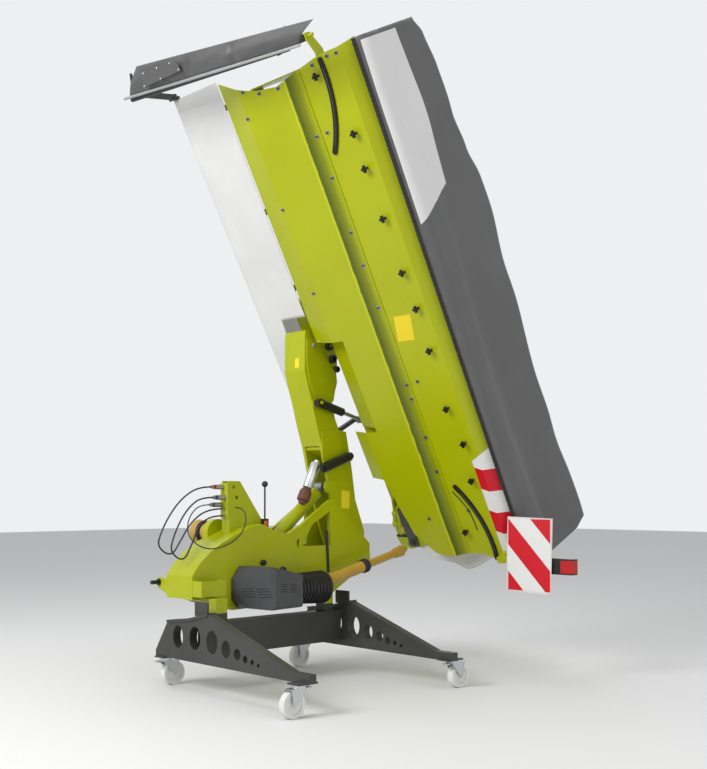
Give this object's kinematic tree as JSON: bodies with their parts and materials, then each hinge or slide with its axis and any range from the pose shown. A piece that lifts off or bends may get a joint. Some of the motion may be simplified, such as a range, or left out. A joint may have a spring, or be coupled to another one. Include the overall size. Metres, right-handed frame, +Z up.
{
  "type": "disc mower conditioner",
  "caption": "Rear-mounted folding disc mower conditioner held on a wheeled display stand, in transport pose, with cloth guards, drive shaft and lift rams.",
  "frame": {"origin": "middle of the whole machine's footprint, on the floor", "axes": "+X towards the machine's right side, +Y in the direction of travel, +Z up"},
  "size_m": [2.7795, 2.3162, 4.2922],
  "materials": {
    "lime": "gloss",
    "stand_grey": "satin",
    "dark_grey": "satin",
    "black": "matte",
    "steel": "satin",
    "zinc": "satin",
    "white_cloth": "satin",
    "grey_cloth": "satin",
    "wheel_white": "satin",
    "yellow": "satin",
    "board": "gloss",
    "red_lens": "gloss",
    "black_paint": "satin",
    "hose": "satin"
  },
  "bodies": {
    "base": {"stand_leg_left": "stand_grey", "stand_leg_right": "stand_grey", "stand_beam": "stand_grey", "headstock": "lime", "hitch_pins": "black_paint", "drive_cover": "dark_grey", "drive_bell": "black", "input_shaft": "yellow", "coupler_panel": "lime", "couplers": "steel", "lever": "black", "holder_box": "lime", "hose_upper": "hose", "hose_lower": "hose", "sensor_cable": "hose"},
    "boom": {"boom": "lime", "accumulator": "black_paint"},
    "lift_barrel": {"lift_barrel": "lime"},
    "lift_rod": {"lift_rod": "steel"},
    "tilt_barrel": {"tilt_barrel": "black_paint"},
    "tilt_rod": {"tilt_rod": "steel"},
    "pto_outer": {"pto_outer": "yellow"},
    "pto_inner": {"pto_inner": "yellow"},
    "mower": {"hood_front": "lime", "hood_rear": "lime", "front_beam": "lime", "mower_hub": "lime", "end_plate_inner": "lime", "end_plate_outer": "lime", "cutterbar": "steel", "swath_boards": "lime", "rear_curtain": "grey_cloth", "front_cloth": "white_cloth", "front_frame": "stand_grey", "gearbox": "dark_grey", "gearbox_guard": "lime", "deck_levers": "black_paint", "board_bracket": "lime", "warning_board": "board", "tail_lamp": "red_lens"},
    "outer_guard": {"guard_frame": "stand_grey", "guard_cloth": "grey_cloth"},
    "conditioner_rotor": {"conditioner_rotor": "steel"},
    "disc_1": {"disc_1": "steel"},
    "disc_2": {"disc_2": "steel"},
    "disc_3": {"disc_3": "steel"},
    "disc_4": {"disc_4": "steel"},
    "disc_5": {"disc_5": "steel"},
    "disc_6": {"disc_6": "steel"},
    "disc_7": {"disc_7": "steel"},
    "disc_8": {"disc_8": "steel"},
    "caster_fork_1": {"caster_fork_1": "zinc"},
    "caster_wheel_1": {"caster_wheel_1": "wheel_white"},
    "caster_fork_2": {"caster_fork_2": "zinc"},
    "caster_wheel_2": {"caster_wheel_2": "wheel_white"},
    "caster_fork_3": {"caster_fork_3": "zinc"},
    "caster_wheel_3": {"caster_wheel_3": "wheel_white"},
    "caster_fork_4": {"caster_fork_4": "zinc"},
    "caster_wheel_4": {"caster_wheel_4": "wheel_white"}
  },
  "joints": [
    {"name": "boom_lift", "type": "hinge", "parent": "base", "child": "boom", "pos_m": [0.36524, 0.70688, 0.8], "axis": [0, 1, 0], "range_deg": [0, 102.5]},
    {"name": "mower_tilt", "type": "hinge", "parent": "boom", "child": "mower", "pos_m": [0.11584, 0.70688, 2.38452], "axis": [0, 1, 0], "range_deg": [0, 16]},
    {"name": "lift_barrel_swing", "type": "hinge", "parent": "base", "child": "lift_barrel", "pos_m": [-0.48475, 0.70688, 0.83], "axis": [0, 1, 0], "range_deg": [0, 35.82]},
    {"name": "lift_rod_slide", "type": "slide", "parent": "lift_barrel", "child": "lift_rod", "axis": [0.7682, 0, 0.6402], "range_m": [0, 0.64419]},
    {"name": "tilt_barrel_swing", "type": "hinge", "parent": "boom", "child": "tilt_barrel", "pos_m": [-0.04476, 0.55188, 1.935], "axis": [0, 1, 0], "range_deg": [0, 16.99]},
    {"name": "tilt_rod_slide", "type": "slide", "parent": "tilt_barrel", "child": "tilt_rod", "axis": [0.9709, 0, -0.2393], "range_m": [-0.13293, 0]},
    {"name": "drive_shaft_swing", "type": "hinge", "parent": "base", "child": "pto_outer", "pos_m": [-0.26476, 0.39688, 0.62], "axis": [0, 1, 0], "range_deg": [-12.4, 0]},
    {"name": "drive_shaft_slide", "type": "slide", "parent": "pto_outer", "child": "pto_inner", "axis": [0.9711, 0, 0.2385], "range_m": [-0.30814, 0]},
    {"name": "outer_guard_fold", "type": "hinge", "parent": "mower", "child": "outer_guard", "pos_m": [-0.97795, 0.34688, 4.03228], "axis": [0, 1, 0], "range_deg": [0, 100]},
    {"name": "conditioner_spin", "type": "hinge", "parent": "mower", "child": "conditioner_rotor", "pos_m": [0.30465, -0.15312, 2.62358], "axis": [-0.4772, 0, 0.8788], "continuous": true},
    {"name": "disc_1_spin", "type": "hinge", "parent": "mower", "child": "disc_1", "pos_m": [1.21246, 0.44688, 1.58032], "axis": [-0.8788, 0, -0.4772], "continuous": true},
    {"name": "disc_2_spin", "type": "hinge", "parent": "mower", "child": "disc_2", "pos_m": [1.0216, 0.44688, 1.93185], "axis": [-0.8788, 0, -0.4772], "continuous": true},
    {"name": "disc_3_spin", "type": "hinge", "parent": "mower", "child": "disc_3", "pos_m": [0.83074, 0.44688, 2.28338], "axis": [-0.8788, 0, -0.4772], "continuous": true},
    {"name": "disc_4_spin", "type": "hinge", "parent": "mower", "child": "disc_4", "pos_m": [0.63987, 0.44688, 2.6349], "axis": [-0.8788, 0, -0.4772], "continuous": true},
    {"name": "disc_5_spin", "type": "hinge", "parent": "mower", "child": "disc_5", "pos_m": [0.44901, 0.44688, 2.98643], "axis": [-0.8788, 0, -0.4772], "continuous": true},
    {"name": "disc_6_spin", "type": "hinge", "parent": "mower", "child": "disc_6", "pos_m": [0.25815, 0.44688, 3.33796], "axis": [-0.8788, 0, -0.4772], "continuous": true},
    {"name": "disc_7_spin", "type": "hinge", "parent": "mower", "child": "disc_7", "pos_m": [0.06728, 0.44688, 3.68948], "axis": [-0.8788, 0, -0.4772], "continuous": true},
    {"name": "disc_8_spin", "type": "hinge", "parent": "mower", "child": "disc_8", "pos_m": [-0.12358, 0.44688, 4.04101], "axis": [-0.8788, 0, -0.4772], "continuous": true},
    {"name": "caster_1_swivel", "type": "hinge", "parent": "base", "child": "caster_fork_1", "pos_m": [-1.19975, 0.80188, 0.178], "axis": [0, 0, 1], "continuous": true},
    {"name": "caster_1_roll", "type": "hinge", "parent": "caster_fork_1", "child": "caster_wheel_1", "pos_m": [-1.14475, 0.80188, 0.08], "axis": [0, 1, 0], "continuous": true},
    {"name": "caster_2_swivel", "type": "hinge", "parent": "base", "child": "caster_fork_2", "pos_m": [0.03225, 0.79688, 0.178], "axis": [0, 0, 1], "continuous": true},
    {"name": "caster_2_roll", "type": "hinge", "parent": "caster_fork_2", "child": "caster_wheel_2", "pos_m": [-0.02276, 0.79688, 0.08], "axis": [0, 1, 0], "continuous": true},
    {"name": "caster_3_swivel", "type": "hinge", "parent": "base", "child": "caster_fork_3", "pos_m": [-1.25476, -0.60811, 0.178], "axis": [0, 0, 1], "continuous": true},
    {"name": "caster_3_roll", "type": "hinge", "parent": "caster_fork_3", "child": "caster_wheel_3", "pos_m": [-1.30976, -0.60811, 0.08], "axis": [0, 1, 0], "continuous": true},
    {"name": "caster_4_swivel", "type": "hinge", "parent": "base", "child": "caster_fork_4", "pos_m": [0.08324, -0.60311, 0.178], "axis": [0, 0, 1], "continuous": true},
    {"name": "caster_4_roll", "type": "hinge", "parent": "caster_fork_4", "child": "caster_wheel_4", "pos_m": [0.13825, -0.60311, 0.08], "axis": [0, 1, 0], "continuous": true}
  ],
  "couplings": [
    {"joint": "mower_tilt", "follows": "boom_lift", "ratio": 0.1561},
    {"joint": "lift_barrel_swing", "follows": "boom_lift", "ratio": 0.34934},
    {"joint": "lift_rod_slide", "follows": "boom_lift", "m_per_rad": 0.35998},
    {"joint": "tilt_barrel_swing", "follows": "boom_lift", "ratio": 0.16568},
    {"joint": "tilt_rod_slide", "follows": "boom_lift", "m_per_rad": -0.074192},
    {"joint": "drive_shaft_swing", "follows": "boom_lift", "ratio": -0.12092},
    {"joint": "drive_shaft_slide", "follows": "boom_lift", "m_per_rad": -0.17213},
    {"joint": "disc_2_spin", "follows": "disc_1_spin", "ratio": -1},
    {"joint": "disc_3_spin", "follows": "disc_1_spin", "ratio": 1},
    {"joint": "disc_4_spin", "follows": "disc_1_spin", "ratio": -1},
    {"joint": "disc_5_spin", "follows": "disc_1_spin", "ratio": 1},
    {"joint": "disc_6_spin", "follows": "disc_1_spin", "ratio": -1},
    {"joint": "disc_7_spin", "follows": "disc_1_spin", "ratio": 1},
    {"joint": "disc_8_spin", "follows": "disc_1_spin", "ratio": -1}
  ]
}
